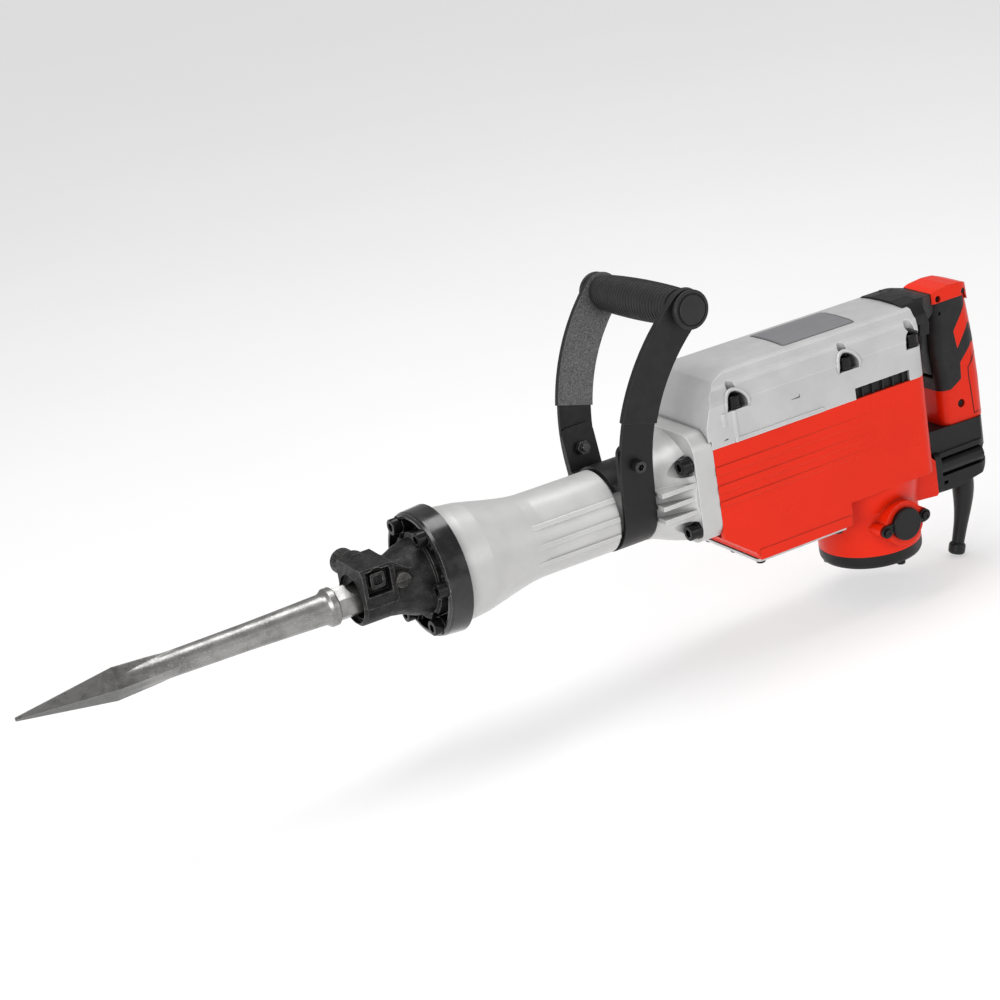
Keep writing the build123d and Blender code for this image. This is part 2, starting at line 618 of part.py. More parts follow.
COVER_BOLTS = [(x, y) for x in COVER_BOLT_X for y in (-COVER_BOLT_Y, COVER_BOLT_Y)]
BASE_SCREWS = [(x, y) for x in (-170.0, -71.0) for y in (-46.0, 0.0, 46.0) if x < -100 or y]
TAIL_SCREWS = [(47.0 * math.cos(math.radians(a)), 47.0 * math.sin(math.radians(a))) for a in (34, 154, 274)]
BRACKET_SCREWS = [(-22.0, 60.0), (22.0, 60.0), (-22.0, 82.0), (22.0, 82.0)]


def base_gasket():
    sheet = block(-176, -65, -52, 52, HOUSING_FLOOR - 2.5, HOUSING_FLOOR)
    sheet = fillet(sheet.edges().filter_by(Axis.Z).group_by(Axis.X)[0], 6)
    sheet -= block(-166, -74, -44, 44, 60, 70)
    for x, y in BASE_SCREWS:
        sheet += rod_z(5.5, HOUSING_FLOOR - 2.5, HOUSING_FLOOR, x, y)
        sheet -= rod_z(2.6, 60, 70, x, y)
    return sheet


def base_plate():
    z1 = HOUSING_FLOOR - 2.5
    sheet = block(-177, -65, -53, 53, z1 - 3, z1)
    sheet = fillet(sheet.edges().filter_by(Axis.Z).group_by(Axis.X)[0], 6)
    for x, y in BASE_SCREWS:
        sheet -= rod_z(2.6, 55, 70, x, y)
    return sheet


def base_screws():
    return placed(pan_screw(5, 18), [Pos(x, y, HOUSING_FLOOR - 5.5) * SCREW_DOWN for x, y in BASE_SCREWS])


def tail_cover():
    """Tail cover with the lower bearing's seat and the flat pad that the motor end rests on."""
    cover = turned_z([(0, PAD_H), (TAIL_R - 5, PAD_H), (TAIL_R - 2, PAD_H + 1.5),
                      (TAIL_R - 0.4, PAD_H + 4.5), (TAIL_R, PAD_H + 8), (TAIL_R, TAIL_TOP), (0, TAIL_TOP)])
    cover += rod_z(PAD_R, 0, PAD_H + 1)
    cover -= turned_z([(17, 11), (44, 11), (44, TAIL_TOP + 1), (17, TAIL_TOP + 1)])
    for x, y in TAIL_SCREWS:
        cover += rod_z(8, 5, TAIL_TOP, x * 0.93, y * 0.93)
        cover -= rod_z(2.6, -1, 30, x, y)
    return cover - rod_z(15, 8.5, TAIL_TOP + 1)


def tail_screws():
    return placed(pan_screw(4.8, 26), [Pos(x, y, PAD_H) * SCREW_DOWN for x, y in TAIL_SCREWS])


def brush_caps():
    """Round brush caps with two screw ears each."""
    caps = []
    for s in (-1, 1):
        cap = rod_y(17.5, *span(s, 66.1, 71.5), 0, BRUSH_Z)
        outer = cap.edges().filter_by(GeomType.CIRCLE).group_by(Axis.Y)[0 if s < 0 else -1]
        cap = fillet(outer, 1.6)
        for ear in (-1, 1):
            x, z = ear * 25, BRUSH_Z + 2 * ear
            lug = rod_y(6.5, *span(s, 66.1, 69), x, z)
            arm = block(*span(ear, 14, 25), *span(s, 66.1, 69), BRUSH_Z - 5, BRUSH_Z + 5)
            cap = cap + lug + arm - rod_y(2.7, *span(s, 60, 75), x, z)
        caps.append(cap)
    return caps


def brush_cap_screws():
    screw = pan_screw(4.5, 10)
    near = [Pos(e * 25, -69.05, BRUSH_Z + 2 * e) * SCREW_NEAR for e in (-1, 1)]
    far = [Pos(e * 25, 69.05, BRUSH_Z + 2 * e) * SCREW_FAR for e in (-1, 1)]
    return placed(screw, near + far)


def brush_holders():
    holders = []
    for s in (-1, 1):
        y0, y1 = span(s, 22, 62)
        tube = block(-9, 9, y0, y1, BRUSH_Z - 11, BRUSH_Z + 11)
        collar = rod_y(16.3, *span(s, 51, 56), 0, BRUSH_Z)
        holders.append(tube + collar - block(-6.2, 6.2, y0 - 1, y1 + 1, BRUSH_Z - 8.2, BRUSH_Z + 8.2))
    return holders


def carbon_brushes():
    return [block(-6, 6, *span(s, 17.3, 40), BRUSH_Z - 8, BRUSH_Z + 8) for s in (-1, 1)]


# ---------------------------------------------------------------- gear cover
def cover_outline(grow=0.0):
    """Half-symmetric cross-section of the gear cover, in Y and Z."""
    side, crown = HALF_WIDTH + grow, COVER_CROWN + grow
    half = [(side, HOUSING_TOP), (side, 241 + grow), (side - 3, 246 + grow), (50 + grow, 254 + grow),
            (48.5 + grow, 257.5 + grow), (45 + grow, 260 + grow), (41 + grow, COVER_TOP - 1 + grow),
            (36 + grow, COVER_TOP + 0.5 + grow), (20, crown - 0.6)]
    return half + [(0, crown)] + [(-y, z) for y, z in reversed(half)]


def cover_body():
    shell = front_profile(cover_outline(), -225, HOUSING_REAR)
    outer = Pos(0, 0, HOUSING_TOP) * extrude(plan(-225, HOUSING_REAR, 90, 0.5) & plan(
        -225, HOUSING_REAR, HALF_WIDTH, REAR_CORNER), 90)
    nose = side_profile([(-222, HOUSING_TOP), (-221.5, 222), (-217, 238), (-209, 251), (-198, 261.5),
                         (-184, 267), (-168, 269.5), (-150, 275), (80, 275), (80, HOUSING_TOP)], -70, 70)
    return shell & outer & nose


def screw_pocket(x, y):
    """Arched pocket over one cover screw, open to the side."""
    s = 1 if y > 0 else -1
    arch = rod_y(12.5, *span(s, 0, 90), x, COVER_SEAT_Z + 5)
    arch += block(x - 12.5, x + 12.5, *span(s, 0, 90), COVER_SEAT_Z, COVER_SEAT_Z + 5)
    well = rod_z(13, COVER_SEAT_Z, 262, x, s * (COVER_BOLT_Y + 4))
    return arch & (well + block(x - 13, x + 13, *span(s, 55, 90), COVER_SEAT_Z, 262))


def gear_cover():
    """Cast cover over the gears, with sloped nose, stepped shoulders and pockets for its screws."""
    outer = cover_body()
    inner = [(54, HOUSING_TOP - 1), (54, 240), (45, 251), (36, 262), (0, 264)]
    inner += [(-y, z) for y, z in reversed(inner[:-1])]
    hollow = front_profile(inner, -205, 48)
    hollow &= side_profile([(-206, HOUSING_TOP - 1), (-205, 235), (-194, 252), (-180, 262), (-165, 266),
                            (60, 266), (60, HOUSING_TOP - 1)], -70, 70)
    for x, y in COVER_BOLTS:
        s = 1 if y > 0 else -1
        hollow -= rod_z(16, COVER_SEAT_Z - 5, 280, x, s * (COVER_BOLT_Y + 1)) + rod_z(11, 190, 280, x, y)
    for x, r, reach in ((CRANK_X, 22, 27), (IDLER_X, 15, 20)):
        hollow -= rod_z(reach, 236, 280, x) - rod_z(r, 230, 247.2, x) - rod_z(r - 6, 230, 249, x)
    flange_face = RectangleRounded(FLANGE_Z[1] - FLANGE_Z[0] + 0.4, 2 * HALF_WIDTH + 4, FLANGE_CORNER)
    flange = Pos(-300, 0, sum(FLANGE_Z) / 2) * Rot(0, 90, 0) * extrude(flange_face, 300 + HOUSING_FRONT)
    cover = outer - hollow - flange
    cover -= block(-39, 31, -65, 65, HOUSING_TOP - 1, 211) - block(-60, 60, -54, 54, 190, 220)
    for x, y in COVER_BOLTS:
        cover -= screw_pocket(x, y)
        cover -= rod_z(5 + FIT, HOUSING_TOP - 1, 300, x, y)
    for s in (-1, 1):
        for x in (-200, -187):
            boss = rod_z(3, HOUSING_TOP if x > -190 else 219, COVER_SEAT_Z, x, s * (HALF_WIDTH - 1.6))
            cover += boss & block(-240, 0, -61.2, 61.2, 190, 240)
        cover += block(-190, -80, *span(s, 58, 60.8), HOUSING_TOP, 203.5)
    return cover


def label_plate():
    """Blank name plate on the flat top of the cover."""
    plate = front_profile([(-30, 266), (-30, COVER_TOP + 1.2), (-20, COVER_CROWN + 0.2),
                           (0, COVER_CROWN + 0.8), (20, COVER_CROWN + 0.2), (30, COVER_TOP + 1.2),
                           (30, 266)], -100, -8)
    plate = fillet(plate.edges().filter_by(Axis.Z), 3)
    return plate - cover_body()


def cover_cap_screws():
    return placed(cap_screw(10, 60, 3.0), [Pos(x, y, COVER_SEAT_Z) for x, y in COVER_BOLTS])


def case_cap_screws():
    return placed(cap_screw(10, 45, 3.0), [Pos(FLANGE_FRONT, y, z) * SCREW_FRONT for y, z in CASE_BOLTS])


def air_baffles():
    """Dark air guides that fill the two side vents of the gear cover."""
    baffles = []
    for s in (-1, 1):
        baffle = block(-38.8, 30.8, *span(s, 54.3, 56.3), HOUSING_TOP, 210.9)
        for k in range(5):
            x = -30 + 13 * k
            baffle += block(x, x + 1.6, *span(s, 56, 59), HOUSING_TOP + 0.3, 210.5)
        baffles.append(baffle)
    return baffles


def bearing_bridge():
    """Plate between housing and cover that carries the lower bearings of both gear shafts."""
    plate = block(-160, -20, -53.5, 53.5, 187, 198.8)
    plate -= rod_z(24, 180, 210, CRANK_X) + rod_z(15, 180, 210, IDLER_X)
    plate -= rod_z(44, 180, 187, CRANK_X)
    for x, y in COVER_BOLTS:
        plate -= rod_z(9.6, 180, 210, x, y)
    return plate


# ---------------------------------------------------------------- rear handle
def saddle_bracket():
    """Black bracket that straps the rear handle's upper end to the gear cover."""
    near = [(-46, 236), (-47.5, 249), (-44, 258), (-39, 266), (-33, 270), (-15, 272.5)]
    outer = near + [(-y, z) for y, z in reversed(near)]
    body = front_profile(outer, 49, 72)
    body -= block(40, 60, -60, 60, 200, 249.5)
    neck = side_profile([(70, 238), (70, 271.5), (84, 270.5), (101, 267), (101, 248)], -30, 30)
    neck &= neck_plan(0)
    tongue = block(95, 112, -12, 12, 251, 262)
    body = body + neck + tongue
    return body - front_profile(cover_outline(0.3), 0, HOUSING_REAR + 0.3)


def neck_plan(gap):
    """Plan of the bracket's neck, narrowing towards the handle."""
    outline = [(60, 40 + gap), (72, 34 + gap), (101 + gap, 20 + gap)]
    outline += [(x, -y) for x, y in reversed(outline)]
    return Pos(0, 0, 200) * extrude(make_face(Polyline(*outline, close=True)), 100)


# height, front and rear of the rear handle
BACK_SECTIONS = [(118, 98, 158), (160, 98.5, 158), (205, 94.5, 155.5), (233, 96.5, 152.5),
                 (257, 97.5, 149.5), (275, 97.5, 146.0)]


def back_section(z, x0, x1, half, r_front, r_rear):
    """Rounded plan section of the rear handle at one height."""
    face = Pos((x0 + x1) / 2, 0, z) * Rectangle(x1 - x0, 2 * half)
    face = fillet(face.vertices().group_by(Axis.X)[0], r_front)
    return fillet(face.vertices().group_by(Axis.X)[-1], r_rear)


def back_handle_body():
    """Outer form of the rear handle."""
    return loft([back_section(z, x0, x1, BACK_HALF, 11, 19) for z, x0, x1 in BACK_SECTIONS], ruled=True)


CAP_SCREWS = ((105.0, 260.5), (140.0, 259.8))
HANDLE_SCREW = (123.0, 139.0)


def grip_zone():
    """Side outline of the soft grip: the handle's front, with one slanting band to the rear."""
    return side_profile([(80, 270), (142, 270), (141, 246), (122, 220), (125, 200), (143, 225), (160, 214),
                         (160, 200), (145, 202), (127, 184), (126, 166), (112, 158), (80, 158)], -30, 30)


def handle_core():
    """Part of the red shell that runs on under the soft grip."""
    return block(114, 146, -19, 19, 118, 256)


def trigger_slot():
    return block(80, 113, -12, 12, 172, 250.5)


def rear_grip():
    """Soft black part of the rear handle."""
    grip = (back_handle_body() & grip_zone()) & block(80, 170, -30, 30, 100, 256)
    grip -= trigger_slot() + handle_core() + saddle_keepout()
    grip -= rod_x(PLUNGER_R + 0.3, 105, 125, 0, PLUNGER_Z)
    return grip - rod_y(2.05, -30, 30, *TRIGGER_PIVOT)


def rear_handle():
    """Red shell of the rear handle, hollow for the switch, with a core under the soft grip."""
    body = back_handle_body() & block(80, 170, -30, 30, 118, 256)
    shell = (body - grip_zone()) + (body & handle_core())
    shell -= block(113, 143, -16, 16, 124, 250)
    for s in (-1, 1):
        shell -= rod_y(4.6, *span(s, 18, 30), *HANDLE_SCREW)
        shell -= rod_y(1.8, *span(s, 12, 20), *HANDLE_SCREW)
    return shell - trigger_slot()


def handle_cap():
    """Red cap over the top of the rear handle."""
    cap = side_profile([(88, 256.3), (88, 263), (93, 267.5), (105, 270.5), (122, 272), (136, 271),
                        (146, 267.5), (151, 262), (151, 249), (147, 249), (143, 256.3)], -30, 30)
    cap &= loft([back_section(z, 91, x1, BACK_HALF + 1.5, 10, 20)
                 for z, x1 in ((245, 153.5), (275, 151.5))])
    for s in (-1, 1):
        for x, z in CAP_SCREWS:
            cap -= rod_y(3.6, *span(s, 18, 30), x, z)
            cap -= rod_y(1.8, *span(s, 10, 20), x, z)
    return cap - saddle_keepout() - (back_handle_body() & block(80, 170, -30, 30, 200, 256))


def saddle_keepout():
    """Room that the handle leaves for the saddle bracket's neck and tongue."""
    neck = side_profile([(69, 230), (69, 271.8), (84, 270.8), (101.3, 267.3), (101.3, 247)], -40, 40)
    return (neck & neck_plan(0.3)) + block(90, 112.3, -12.3, 12.3, 250.7, 262.3)


def handle_screws():
    """Screws sunk in the handle's side holes, and those that hold the lower bracket."""
    screws = []
    for x, z in (*CAP_SCREWS, HANDLE_SCREW):
        screws += placed(pan_screw(3.3, 6), [Pos(x, -18.05, z) * SCREW_NEAR, Pos(x, 18.05, z) * SCREW_FAR])
    return screws + placed(cap_screw(5, 18), [Pos(82.3, y, z) * SCREW_BACK for y, z in BRACKET_SCREWS])


def lower_bracket():
    """Black bracket between the housing's foot and the lower end of the rear handle."""
    upper = side_profile([(47, 106), (62, 104.5), (75, 93), (75, 88), (155, 88), (155, 116), (146, 118),
                          (90, 120), (52, 121)], -24, 24)
    lower = side_profile([(74.2, 51), (74.2, 94), (152, 94), (149, 66), (140, 56), (104, 50)], -26, 26)
    plan_form = fillet((Pos(100, 0) * Rectangle(107, 52)).vertices().group_by(Axis.X)[-1], 18)
    body = (upper + lower) & (Pos(0, 0, 40) * extrude(plan_form, 90))
    body += fillet(block(74.2, 82, -31, 31, 51, 96).edges().filter_by(Axis.X), 6)
    for s in (-1, 1):
        body -= rod_x(10.5, 82, 160, s * 26, 78)
        body += rod_x(8.5, 82, 141, s * 21, 78)
    for y, z in BRACKET_SCREWS:
        body -= rod_x(2.6, 70, 84, y, z)
        body -= rod_x(4.4, 82.2, 92, y, z)
    body -= rod_z(6 + FIT, 40, 62, GUARD_PATH[0][0], 0) + rod_z(12.2, 40, 48, GUARD_PATH[0][0], 0)
    return body - (back_handle_body() & block(80, 170, -30, 30, 118, 200)) - motor_block()


def motor_block():
    """Outer form of the housing's rear, which the lower bracket fits against."""
    return Pos(0, 0, 80) * extrude(plan(-60, HOUSING_REAR + 0.1, HALF_WIDTH, REAR_CORNER), 100)


PLUNGER_R, PLUNGER_Z = 3.0, 200.0


def switch_body():
    """Switch inside the grip, with its plunger towards the trigger."""
    body = block(118, 140, -15.9, 15.9, 182, 226)
    return body + rod_x(PLUNGER_R, 112, 118, 0, PLUNGER_Z)


TRIGGER_PIVOT = (106.0, 244.0)


def trigger():
    """Long trigger that turns about a pin at its upper end."""
    lever = side_profile([(98, 245.5), (92.5, 239), (89.5, 222), (86, 203), (86.5, 193), (91, 180),
                          (96, 176.5), (102, 177), (104, 190), (107, 225), (111, 240), (110, 247)],
                         -10.5, 10.5)
    return lever - rod_y(2 + RUN, -20, 20, *TRIGGER_PIVOT)


def trigger_pin():
    return rod_y(2, -20, 20, *TRIGGER_PIVOT)


GUARD_PATH = [(131.0, 48.0), (130.5, 34.0), (127.5, 14.0), (121.5, -8.0), (115.0, -29.0)]
GUARD_RADII = (11.5, 11.3, 9.0, 7.4, 6.7)
GUARD_END = (114.0, -31.0)


def cord_guard():
    """Tapered rubber cord guard with a bead at its end and a bore for the supply cord."""
    path = Spline(*[(x, 0, z) for x, z in GUARD_PATH])
    rings = []
    for k, r in enumerate(GUARD_RADII):
        at = k / (len(GUARD_RADII) - 1)
        rings.append(Plane(origin=path @ at, z_dir=path % at) * Circle(r))
    guard = loft(rings)
    end = Plane(origin=(GUARD_END[0], 0, GUARD_END[1]), z_dir=path % 1.0)
    bead = end * (Cylinder(9.2, 13.5))
    bead = fillet(bead.edges().filter_by(GeomType.CIRCLE), 4)
    guard += bead
    guard += rod_z(6, 47.5, 60, GUARD_PATH[0][0], 0)
    bore_path = [(GUARD_PATH[0][0], 0, 62)] + [(x, 0, z) for x, z in GUARD_PATH] + [(112, 0, -42)]
    for a, b in zip(bore_path, bore_path[1:]):
        start, stop = Vector(*a), Vector(*b)
        step = stop - start
        guard -= Plane(origin=(start + stop) * 0.5, z_dir=step) * Cylinder(4.5, step.length + 2)
    return guard


# ---------------------------------------------------------------- side handle
BEND_Z = AXIS_Z + STRAP_LIFT
STRAP_OUT = STRAP_IN + STRAP_T
ARM_END = (STRAP_X + ARM_BEND_R * (1 - math.cos(math.radians(ARM_BEND_ANGLE))),
           BEND_Z + ARM_STRAIGHT + ARM_BEND_R * math.sin(math.radians(ARM_BEND_ANGLE)))
GRIP_Z = AXIS_Z + GRIP_R
BOLT_H = 55.0             # height of the clamp bolts along the arms
EAR_IN, EAR_OUT = STRAP_IN - 4.2, STRAP_IN - 0.1
SLEEVE_START, SLEEVE_T = 98.0, 1.4


def turned_handle(pieces):
    """Side handle pieces swung to where the clamp holds them."""
    swing = Pos(0, 0, AXIS_Z) * Rot(HANDLE_TURN, 0, 0) * Pos(0, 0, -AXIS_Z)
    return [swing * piece for piece in (pieces if isinstance(pieces, list) else [pieces])]


def both_arms(shape):
    """Near-side shape leaned outwards with its arm, and the same on the far side."""
    near = Pos(0, 0, BEND_Z) * Rot(ARM_SPLAY, 0, 0) * Pos(0, 0, -BEND_Z) * shape
    return [near, mirror(near, Plane.XZ)]


def arm(width, start, y_out, y_in):
    """Near-side arm from a developed length to its rounded end: straight, then bent rearwards."""
    half = width / 2
    centre_x, centre_z = STRAP_X + ARM_BEND_R, BEND_Z + ARM_STRAIGHT
    plate = rod_y(ARM_BEND_R + half, -y_out, -y_in, centre_x, centre_z)
    plate -= rod_y(ARM_BEND_R - half, -y_out - 1, 1 - y_in, centre_x, centre_z)
    wedge = [(centre_x, centre_z)]
    for angle in (max(0.0, math.degrees((start - ARM_STRAIGHT) / ARM_BEND_R)), ARM_BEND_ANGLE):
        a = math.radians(angle)
        wedge.append((centre_x - 2 * ARM_BEND_R * math.cos(a), centre_z + 2 * ARM_BEND_R * math.sin(a)))
    plate &= side_profile(wedge, -y_out - 1, 1 - y_in)
    if start < ARM_STRAIGHT:
        plate += block(STRAP_X - half, STRAP_X + half, -y_out, -y_in, BEND_Z + start, centre_z)
    return plate + rod_y(half, -y_out, -y_in, *ARM_END)


def handle_strap():
    """Flat steel strap bent under the barrel, with two curved arms."""
    x0, x1 = STRAP_X - STRAP_WIDTH / 2, STRAP_X + STRAP_WIDTH / 2
    near = arm(STRAP_WIDTH, 0, STRAP_OUT, STRAP_IN) - rod_y(6.7, -60, -30, *ARM_END)
    near -= rod_y(4 + FIT, -60, -30, STRAP_X, BEND_Z + BOLT_H)
    bend = rod_x(STRAP_OUT, x0, x1, 0, BEND_Z) - rod_x(STRAP_IN, x0 - 1, x1 + 1, 0, BEND_Z)
    a = math.radians(ARM_SPLAY)
    reach = 90.0
    side = (reach * math.cos(a), BEND_Z - reach * math.sin(a))
    bend &= front_profile([(0, BEND_Z), side, (reach, 60), (-reach, 60), (-side[0], side[1])], x0, x1)
    left, right = both_arms(near)
    return turned_handle(bend + left + right)


def sleeve_form(grow=0.0):
    """Outer form of the near arm's rubber sleeve."""
    return arm(STRAP_WIDTH + 2 * SLEEVE_T + 2 * grow, SLEEVE_START, STRAP_OUT + SLEEVE_T + grow,
               STRAP_IN - SLEEVE_T - grow)


def strap_sleeves():
    """Rubber sleeves over the upper part of both arms."""
    sleeve = sleeve_form() - arm(STRAP_WIDTH + 0.2, SLEEVE_START - 10, STRAP_OUT + FIT, STRAP_IN - FIT)
    sleeve -= rod_y(7, -60, -30, *ARM_END)
    return turned_handle(both_arms(sleeve))


def ear_profile(s):
    """Saddle's shelf and ear on one side, in Y and Z."""
    sin_a, cos_a = math.sin(math.radians(ARM_SPLAY)), math.cos(math.radians(ARM_SPLAY))

    def face(offset, h):
        return s * (offset + (h - STRAP_LIFT) * sin_a) / cos_a

    corners = [(s * 29, 28), (face(EAR_OUT, 28), 28), (face(EAR_OUT, 76), 76), (face(EAR_IN, 76), 76),
               (face(EAR_IN, 32), 32), (s * 29, 32)]
    return [(y, AXIS_Z + h) for y, h in corners]


def handle_saddle():
    """Saddle on top of the barrel with two ears that are bolted to the arms."""
    x0, x1 = STRAP_X - STRAP_WIDTH / 2, STRAP_X + STRAP_WIDTH / 2
    saddle = tube_x(CLAMP_R + FIT, CLAMP_R + 6.4, x0, x1)
    saddle &= front_profile([(0, AXIS_Z), (-60, AXIS_Z + 45), (-60, AXIS_Z + 90), (60, AXIS_Z + 90),
                             (60, AXIS_Z + 45)], x0, x1)
    rounded = Rot(90, 0, 0) * extrude(RectangleRounded(STRAP_WIDTH, 80, 9), 200)
    rounded = Pos(STRAP_X, 100, AXIS_Z + 36) * rounded
    for s in (-1, 1):
        ear = (front_profile(ear_profile(s), x0, x1) & rounded) - rod_x(CLAMP_R + FIT, x0 - 1, x1 + 1)
        saddle += ear
    for hole in both_arms(rod_y(4 + FIT, -60, -30, STRAP_X, BEND_Z + BOLT_H)):
        saddle -= hole
    return turned_handle(saddle)


def handle_bolts():
    """Two clamp bolts with their nuts, and the rod that carries the grip."""
    bolt = Pos(STRAP_X, -STRAP_OUT - 0.05, BEND_Z + BOLT_H) * SCREW_NEAR * cap_screw(8, 19)[0]
    nut = extrude(hexagon(13), 6.5) - Pos(0, 0, 3) * Cylinder(4.05, 10)
    nut = Pos(STRAP_X, -EAR_IN + 6.6, BEND_Z + BOLT_H) * SCREW_NEAR * nut
    return turned_handle(both_arms(bolt) + both_arms(nut) + [rod_y(6, -86, 86, GRIP_X, GRIP_Z)])


def side_grip():
    """Crowned rubber grip with fine ribs and plain end flanges that meet the arms."""
    outline = [(6.1, -78), (17, -78), (17, 2 - GRIP_HALF), (18.2, 2 - GRIP_HALF)]
    steps = 26
    for k in range(steps + 1):
        y = -GRIP_HALF + 4 + (2 * GRIP_HALF - 8) * k / steps
        crown = 18.4 + 2.2 * (1 - (y / GRIP_HALF) ** 2)
        outline += [(crown, y - 0.9), (crown, y + 0.9), (crown - 0.8, y + 1.4)]
    outline += [(18.2, GRIP_HALF - 2), (17, GRIP_HALF - 2), (17, 78), (6.1, 78)]
    grip = revolve(Plane.XZ * make_face(Polyline(*outline, close=True)), Axis.Z, 360)
    grip = Pos(GRIP_X, 0, GRIP_Z) * Rot(90, 0, 0) * grip
    for form in both_arms(sleeve_form(0.1) + arm(STRAP_WIDTH, 150, STRAP_OUT + 20, STRAP_IN)):
        grip -= form
    return turned_handle(grip)


def grip_caps():
    """Stepped rubber caps outside the arms."""
    outline = [(6.1, 76), (17, 76), (17, 84), (15.8, 84.6), (15.8, 86), (18.6, 86.4), (19.6, 87.6),
               (19.6, 89.2), (18.6, 90.2), (16.2, 90.2), (15.6, 89.3), (14.8, 89.3), (14.4, 91.2),
               (13.6, 92), (0, 92), (0, 86.1), (6.1, 86.1)]
    cap = revolve(Plane.XZ * make_face(Polyline(*outline, close=True)), Axis.Z, 360)
    cap = Pos(GRIP_X, 0, GRIP_Z) * Rot(90, 0, 0) * cap
    near = both_arms(sleeve_form(0.1) + arm(STRAP_WIDTH, 150, STRAP_OUT, STRAP_IN - 20))[0]
    cap -= near
    return turned_handle([cap, mirror(cap, Plane.XZ)])


# ---------------------------------------------------------------- every sub-part
NODES = {
    "cylinder_case": cylinder_case, "front_ring": front_ring, "retainer_case": retainer_case,
    "retainer_lock_pin": retainer_lock_pin, "tool_retainer": tool_retainer, "point_chisel": point_chisel,
    "front_cap_screws": front_cap_screws, "cylinder_liner": cylinder_liner, "hammer_holder": hammer_holder,
    "holder_damper": holder_damper, "impact_bolt": impact_bolt, "striker": striker, "piston": piston,
    "piston_seal": piston_seal, "piston_pin": piston_pin, "connecting_rod": connecting_rod,
    "crank_pin": crank_pin, "crankshaft": crankshaft, "crank_gear": crank_gear,
    "intermediate_gear": intermediate_gear, "armature_shaft": armature_shaft, "commutator": commutator,
    "armature_core": armature_core, "armature_windings": armature_windings, "cooling_fan": cooling_fan,
    "stator_core": stator_core, "stator_coils": stator_coils, "shaft_bearings": shaft_bearings,
    "bearing_bridge": bearing_bridge, "motor_housing": motor_housing, "base_gasket": base_gasket,
    "base_plate": base_plate, "base_screws": base_screws, "tail_cover": tail_cover,
    "tail_screws": tail_screws, "brush_caps": brush_caps, "brush_cap_screws": brush_cap_screws,
    "brush_holders": brush_holders, "carbon_brushes": carbon_brushes, "gear_cover": gear_cover,
    "label_plate": label_plate, "cover_cap_screws": cover_cap_screws, "case_cap_screws": case_cap_screws,
    "air_baffles": air_baffles, "saddle_bracket": saddle_bracket, "rear_grip": rear_grip,
    "rear_handle": rear_handle, "handle_cap": handle_cap, "handle_screws": handle_screws,
    "lower_bracket": lower_bracket, "switch_body": switch_body, "trigger": trigger,
    "trigger_pin": trigger_pin, "cord_guard": cord_guard, "handle_strap": handle_strap,
    "strap_sleeves": strap_sleeves, "handle_saddle": handle_saddle, "handle_bolts": handle_bolts,
    "side_grip": side_grip, "grip_caps": grip_caps,
}


def main():
    os.makedirs("parts", exist_ok=True)
    for name, make in NODES.items():
        pieces = make()
        pieces = pieces if isinstance(pieces, list) else [pieces]
        solids = [solid for piece in pieces for solid in piece.solids()]
        print(f"{name:20s} {len(solids):3d} solids  {sum(s.volume for s in solids) / 1000:9.1f} cm3")
        export_step(Compound(children=solids), f"parts/{name}.step")


main()
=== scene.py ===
import json
import math

import bmesh
import bpy
from mathutils import Matrix, Vector


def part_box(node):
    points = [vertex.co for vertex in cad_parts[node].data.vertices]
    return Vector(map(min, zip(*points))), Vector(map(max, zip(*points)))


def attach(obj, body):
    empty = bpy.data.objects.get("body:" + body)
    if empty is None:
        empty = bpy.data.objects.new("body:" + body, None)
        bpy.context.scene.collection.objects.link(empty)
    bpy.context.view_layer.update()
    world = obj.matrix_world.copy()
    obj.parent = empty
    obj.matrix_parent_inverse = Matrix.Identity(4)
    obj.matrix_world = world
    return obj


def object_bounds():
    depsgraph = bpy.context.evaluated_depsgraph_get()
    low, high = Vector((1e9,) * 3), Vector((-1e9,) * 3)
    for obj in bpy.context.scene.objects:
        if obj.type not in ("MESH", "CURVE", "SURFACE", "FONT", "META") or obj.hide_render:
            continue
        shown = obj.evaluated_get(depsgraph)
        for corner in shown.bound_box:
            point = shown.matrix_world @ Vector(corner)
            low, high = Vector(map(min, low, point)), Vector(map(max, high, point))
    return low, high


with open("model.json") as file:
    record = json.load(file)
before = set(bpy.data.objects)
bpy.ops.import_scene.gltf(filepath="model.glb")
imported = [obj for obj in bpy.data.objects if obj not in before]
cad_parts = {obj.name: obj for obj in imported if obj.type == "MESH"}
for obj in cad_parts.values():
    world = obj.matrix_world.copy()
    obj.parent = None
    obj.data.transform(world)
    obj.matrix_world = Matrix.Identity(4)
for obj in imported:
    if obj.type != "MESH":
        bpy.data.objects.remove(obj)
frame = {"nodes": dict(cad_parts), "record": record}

cad_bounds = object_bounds()

MM = 0.001
NODES = frame["nodes"]
AXIS_Z = 0.154            # height of the barrel's axis
PAINTED_SHADE_REACH = 0.012      # how far a neighbouring wall reaches for the painted shade in a crease
POINT_BASE_X = -0.851     # widest place of the chisel's point


